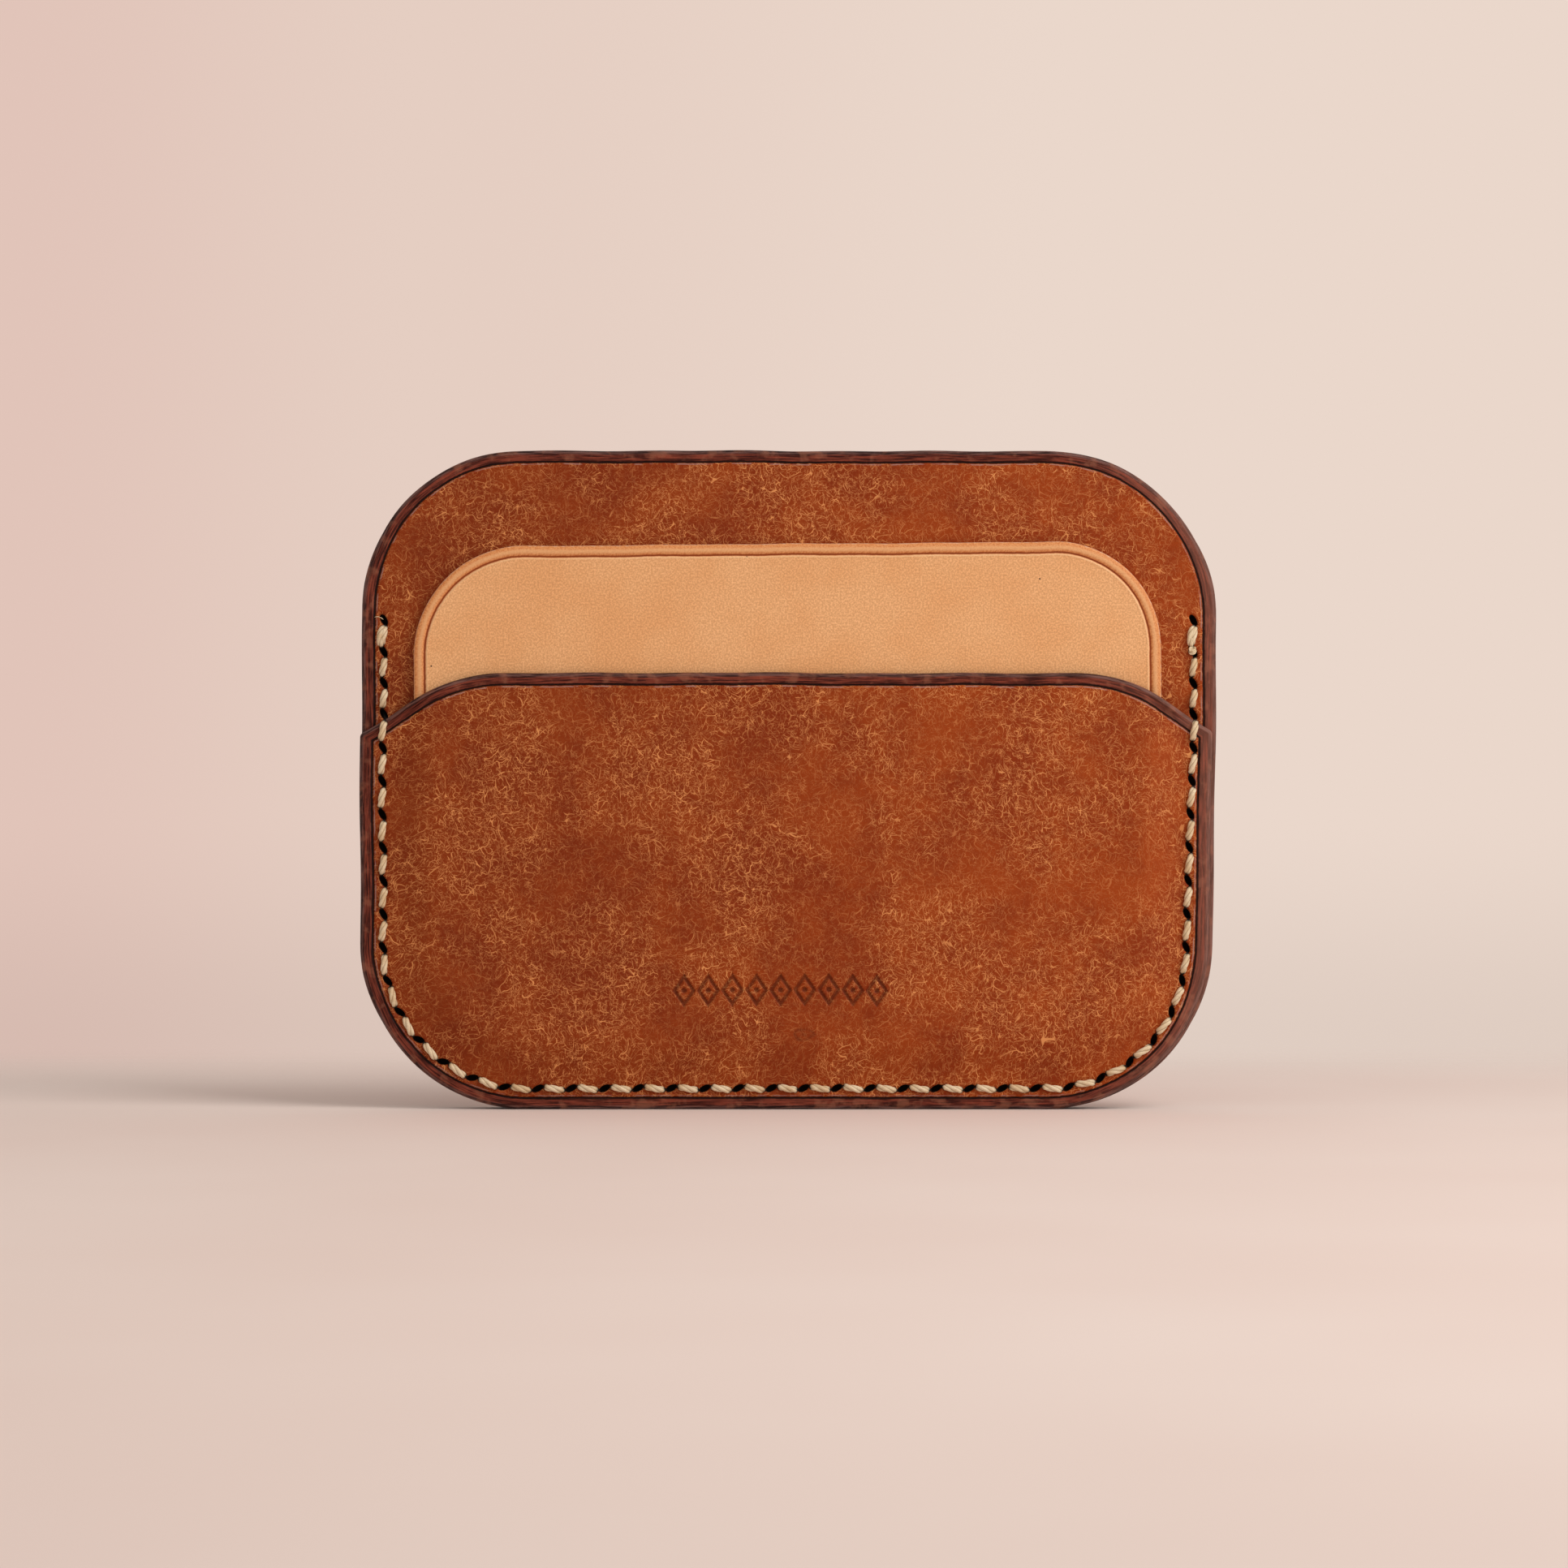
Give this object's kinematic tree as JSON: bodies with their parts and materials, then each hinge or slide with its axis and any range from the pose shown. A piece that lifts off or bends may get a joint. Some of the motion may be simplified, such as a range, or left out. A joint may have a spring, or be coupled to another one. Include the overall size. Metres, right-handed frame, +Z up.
{
  "type": "card holder",
  "caption": "Flat stitched leather card holder with rounded corners, a front pocket with sloped shoulders holding a loose leather divider that slides up, and an open-topped pocket behind.",
  "frame": {"origin": "middle of the footprint, on the surface the holder stands on", "axes": "+X across the holder to the right, +Y from the front pocket to the rear panel, +Z up towards the pocket mouths"},
  "size_m": [0.101, 0.0064, 0.0783],
  "materials": {
    "tan_leather": "waxy pull-up leather, satin, with fine pale scuffs and dark burnished edges",
    "natural_leather": "undyed vegetable-tanned leather, smooth satin grain",
    "waxed_thread": "plied linen thread, waxed"
  },
  "bodies": {
    "holder": {"front_pocket": "tan_leather", "middle_panel": "tan_leather", "rear_panel": "tan_leather", "seam_thread": "waxed_thread"},
    "divider": {"divider": "natural_leather"}
  },
  "joints": [
    {"name": "divider_slide", "type": "slide", "parent": "holder", "child": "divider", "axis": [0, 0, 1], "range_m": [0, 0.045]}
  ]
}
